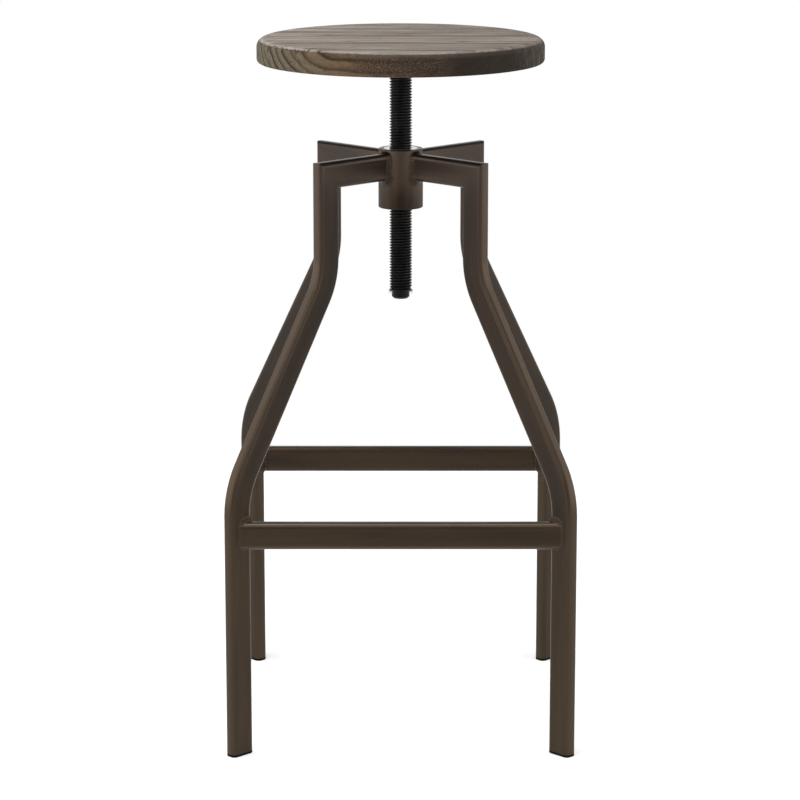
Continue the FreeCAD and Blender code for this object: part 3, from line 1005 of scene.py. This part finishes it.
def tube_outline():
    """Points spread evenly round the tube: (core y, core z, sideways, up). The core is the flat
    tube without its rounding, and the last two are the direction outwards."""
    y, z = TUBE_THIN / 2 - TUBE_CORNER, TUBE_WIDE / 2 - TUBE_CORNER
    corners = [(y, -z, 0), (y, z, 0), (y, z, 90), (-y, z, 90), (-y, z, 180), (-y, -z, 180),
               (-y, -z, 270), (y, -z, 270), (y, -z, 360)]
    arc = TUBE_CORNER * math.pi / 2
    lengths = [2 * z, arc, 2 * y, arc, 2 * z, arc, 2 * y, arc]
    points = []
    for i in range(WELD_POINTS):
        way = sum(lengths) * (i + 0.5) / WELD_POINTS
        run = 0
        while way > lengths[run]:
            way -= lengths[run]
            run += 1
        here = Vector(corners[run]).lerp(Vector(corners[run + 1]), way / lengths[run])
        turn = math.radians(here.z)
        points.append((here.x, here.y, math.cos(turn), math.sin(turn)))
    return points


def outline_point(spot, grow):
    """A point of the outline as (sideways, up), grown by a distance."""
    y, z, side, up = spot
    return y + (TUBE_CORNER + grow) * side, z + (TUBE_CORNER + grow) * up


def weld_lines(sizes, place):
    """The lines of a weld. For a direction round the outline, sizes gives (growth, distance along
    the tube, value for the radius) of each line, and place puts a point where it belongs."""
    lines = [], [], []
    for spot in tube_outline():
        for line, (grow, along, value) in zip(lines, sizes(*spot[2:])):
            line.append((*place(*outline_point(spot, grow), along), value))
    return lines


def weld_mesh(name, sets, puddles, seed, ripple=0.00012):
    """One mesh of all the welds of a set. Each weld is three lines: toe, corner, toe."""
    shape = bmesh.new()
    for i, lines in enumerate(sets):
        ring = plain_mesh(name, fillet_weld, lines, True, Points=len(lines[0]), Puddles=puddles,
                          Ripple=ripple, Seed=seed + i, Finish=weld_lacquer)
        shape.from_mesh(ring)
        bpy.data.meshes.remove(ring)
    return finished_mesh(name, shape, weld_lacquer)


print("points round a weld:", WELD_POINTS)

# %% [markdown]
# At the hub, the toe on the arm is the same all round, and the toe on the hub reaches further
# down below the arm than to its sides.

# %% Hub welds
HUB_TOE_SIDE, HUB_TOE_BELOW, ARM_TOE = 0.0028, 0.0074, 0.0062
HUB_HOLLOW, HUB_ROUGH = 0.55, 0.0007


def hub_sizes(side, up):
    hub_toe = HUB_TOE_SIDE + (HUB_TOE_BELOW - HUB_TOE_SIDE) * max(0.0, -up)
    return (hub_toe, -UNDER, HUB_ROUGH), (0.0, 0.0, 1 + HUB_HOLLOW), (-UNDER, ARM_TOE, 1.0)


def hub_weld(degrees):
    turn = Matrix.Translation((0, 0, ARM_MIDDLE)) @ Matrix.Rotation(math.radians(degrees), 4, "Z")

    def place(y, z, along):
        return turn @ Vector((on_hub(y) + along, y, z))

    return weld_lines(hub_sizes, place)


hub_sets = [hub_weld(degrees) for degrees in CORNERS.values()]
hub_fillets = weld_mesh("hub_fillets", hub_sets, puddles=32, seed=3.0)
place_piece("hub_fillets", hub_fillets, "hub_welds")

# %% [markdown]
# A bar's weld differs round the joint. On the outside it was ground nearly flush, on top it runs
# up the leg in a broad hollow fillet, and on the inside, where nobody looks, the bead was left
# round and lumpy. Each size below is therefore worked out from the direction round the outline.


# %% Bar welds
def bar_sizes(side, up):
    above, below = max(0.0, up), max(0.0, -up)
    inside = (1 + side) / 2
    bead = inside * (1 - above) * (1 - below)
    leg_toe = 0.001 + above * (0.002 + 0.008 * inside) + below * 0.0012 + 0.0032 * bead
    bar_toe = 0.0012 + above * (0.001 + 0.003 * inside) + below * 0.0006 + 0.0044 * bead
    rough, hollow = 0.0004 + 0.0034 * bead, 0.5 - 1.4 * bead
    return (leg_toe, -UNDER, rough), (0.0, 0.0, 1 + hollow), (-UNDER, bar_toe, 1.0)


def bar_weld(right, front):
    """The weld at one end of a bar. right and front are 1 or -1."""

    def place(y, z, along):
        x = LEG_SIDE - leg_surface(y) - along
        return right * x, front * (y - LEG_SIDE), BAR_HEIGHT + z

    return weld_lines(bar_sizes, place)


bar_sets = [bar_weld(right, front) for right in (1, -1) for front in (1, -1)]
bar_fillets = weld_mesh("bar_fillets", bar_sets, puddles=34, seed=11.0, ripple=0.00015)
place_piece("bar_fillets", bar_fillets, "stretcher_welds")

# %% [markdown]
# The flange under the seat is welded to the neck of the screw in the same way, round a plain
# circle.

# %% Flange weld
NECK_RADIUS = 0.0105
FLANGE_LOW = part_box("seat_flange")[0].z
FLANGE_WELD, FLANGE_HOLLOW, FLANGE_ROUGH = 0.005, 0.2, 0.0007


def circle(radius, height, value):
    turns = [2 * math.pi * i / WELD_POINTS for i in range(WELD_POINTS)]
    return [(radius * math.cos(a), radius * math.sin(a), height, value) for a in turns]


flange_set = [
    circle(NECK_RADIUS + FLANGE_WELD, FLANGE_LOW + UNDER, FLANGE_ROUGH),
    circle(NECK_RADIUS, FLANGE_LOW, 1 + FLANGE_HOLLOW),
    circle(NECK_RADIUS - UNDER, FLANGE_LOW - FLANGE_WELD, 1.0),
]
flange_fillet = weld_mesh("flange_fillet", [flange_set], puddles=30, seed=21.0)
place_piece("flange_fillet", flange_fillet, "flange_weld", "seat")

# %% [markdown]
# ## Hub
# The hub is a turned barrel. Spinning a profile about the axis gives a smooth surface with small
# rounded edges, which catch a line of light as the real ones do.

# %% Hub
HUB_LOW, HUB_TOP, HUB_BORE = 0.584, 0.6505, 0.019
HUB_EDGE = 0.0012
EDGE_STEPS, HUB_SEGMENTS = 6, 128


def spun(name, profile, material):
    """A closed (radius, height) profile turned about the upright axis."""
    shape = bmesh.new()
    rings = []
    for i in range(HUB_SEGMENTS):
        turn = 2 * math.pi * i / HUB_SEGMENTS
        cos, sin = math.cos(turn), math.sin(turn)
        rings.append([shape.verts.new((r * cos, r * sin, z)) for r, z in profile])
    for i, ring in enumerate(rings):
        after = rings[(i + 1) % HUB_SEGMENTS]
        for j in range(len(profile)):
            k = (j + 1) % len(profile)
            shape.faces.new((ring[j], after[j], after[k], ring[k])).smooth = True
    return finished_mesh(name, shape, material, SHARP_DEGREES)


def rounded_edge(height, upwards):
    """The hub's outer edge at one end, from the side to the end face."""
    points = []
    for i in range(EDGE_STEPS + 1):
        turn = math.radians(90 * i / EDGE_STEPS)
        rise = HUB_EDGE * (math.sin(turn) - 1)
        radius = HUB_RADIUS + HUB_EDGE * (math.cos(turn) - 1)
        points.append((radius, height + (rise if upwards else -rise)))
    return points


hub_profile = [(HUB_BORE, HUB_LOW)] + list(reversed(rounded_edge(HUB_LOW, False)))
hub_profile += rounded_edge(HUB_TOP, True) + [(HUB_BORE, HUB_TOP)]
hub = spun("hub_turned", hub_profile, turned_lacquer)
place_piece("hub_turned", hub, "hub_barrel")

# %% [markdown]
# ## Finishes of the remaining solids
# The screw, the nut, the stop, the flange and the foot caps are right as they come from the CAD
# model, so they keep their meshes and only get their finish.

# %% Finishes of the remaining solids
finishes = {
    "spindle": black_screw,
    "stop_pin": turned_steel,
    "stop_washer": black_screw,
    "hub_nut": turned_steel,
    "seat_screws": turned_steel,
    "seat_flange": turned_lacquer,
}
finishes.update({f"foot_cap_{corner}": plastic for corner in CORNERS})
for name, finish in finishes.items():
    mesh = nodes[name].data
    mesh.materials.clear()
    mesh.materials.append(finish)
print("solids with a finish:", len(finishes))

# %% [markdown]
# ## Floor and lights
# A white paper floor, a broad soft light on each side, and weaker ones from above and from the
# front. The sides are lit more than the front, so the tubes are lighter along their edges than on
# their front faces.

# %% Floor and lights
FLOOR_RADIUS = 1.3
LIGHTS = [  # name, place, what it aims at, width and height, watts
    ("left_softbox", (-2.4, -0.5, 1.35), (0, -0.1, 1.0), (4.2, 2.5), 71),
    ("right_softbox", (2.4, -0.5, 1.35), (0, -0.1, 1.0), (4.2, 2.5), 66),
    ("front_softbox", (-0.6, -3.6, 2.7), (0, 0, 0.6), (3.6, 1.8), 41),
    ("front_left_fill", (-2.3, -3.6, 0.6), (0, 0, 0.5), (2.2, 1.6), 10),
    ("front_right_fill", (2.3, -3.6, 0.6), (0, 0, 0.5), (2.2, 1.6), 10),
    ("overhead_softbox", (-0.4, -0.3, 3.0), (0, 0, 0.4), (2.0, 2.0), 52),
]


def paper():
    glow = {"Emission_Strength": 0.46, "Emission_Color": (1, 1, 1, 1)}
    material, place = new_finish("white_paper", Roughness=0.9, **glow)
    tone = mix(stretched_noise(place, (1, 1, 1), 2.0), (0.62,) * 3, (0.66,) * 3)
    tree = material.node_tree
    tree.links.new(tone, tree.nodes["Principled BSDF"].inputs["Base Color"])
    return material


def floor():
    shape = bmesh.new()
    turns = [math.radians(degrees) for degrees in range(0, 360, 6)]
    rim = [(FLOOR_RADIUS * math.cos(a), FLOOR_RADIUS * math.sin(a), 0) for a in turns]
    shape.faces.new([shape.verts.new(place) for place in rim])
    mesh = bpy.data.meshes.new("studio_floor")
    shape.to_mesh(mesh)
    shape.free()
    mesh.materials.append(paper())
    show("studio_floor", mesh)


def soft_light(name, place, aim, size, watts):
    data = bpy.data.lights.new(name, "AREA")
    data.shape = "RECTANGLE"
    data.size, data.size_y = size
    data.energy = watts
    lamp = show(name, data)
    lamp.location = place
    lamp.rotation_euler = (Vector(aim) - Vector(place)).to_track_quat("-Z", "Y").to_euler()


floor()
for light in LIGHTS:
    soft_light(*light)
scene.view_settings.view_transform = "Standard"
print("lights:", len(LIGHTS))

# %% [markdown]
# ## White room
# Round the floor is a white room. Seen directly it is white, but its light on the stool is
# weaker, so that the shade shows. Below the horizon the floor goes on, whiter behind the stool
# than in front of it, and the wall behind is white low down, where the flat tops mirror it.


# %% White room
def white_room(around, floor_front, floor_back, wall_behind):
    world = bpy.data.worlds.new("white_room")
    world.use_nodes = True
    tree = world.node_tree
    light = tree.nodes["Background"]
    light.inputs["Color"].default_value = (1, 1, 1, 1)
    _, y, z = split(add(tree, "ShaderNodeTexCoord").outputs["Generated"])
    beyond = maths("SUBTRACT", spread(y, 0.3, 0.8, floor_front, floor_back), around)
    beyond = times(beyond, spread(z, -0.02, 0.0, 1.0, 0.0))
    wall = times(spread(z, -0.02, 0.0), spread(z, 0.34, 0.44, wall_behind - around, 0.0))
    wall = times(wall, spread(y, 0.75, 0.92))
    tree.links.new(plus(around, beyond, wall), light.inputs["Strength"])
    seen = add(tree, "ShaderNodeBackground", {"Color": (1, 1, 1, 1), "Strength": 1.0}).outputs[0]
    directly = add(tree, "ShaderNodeLightPath").outputs["Is Camera Ray"]
    pick = fed("ShaderNodeMixShader", {0: directly, 1: light.outputs[0], 2: seen})[0]
    tree.links.new(pick, tree.nodes["World Output"].inputs["Surface"])
    scene.world = world


white_room(around=0.2, floor_front=0.75, floor_back=1.0, wall_behind=1.3)
print("world:", scene.world.name)
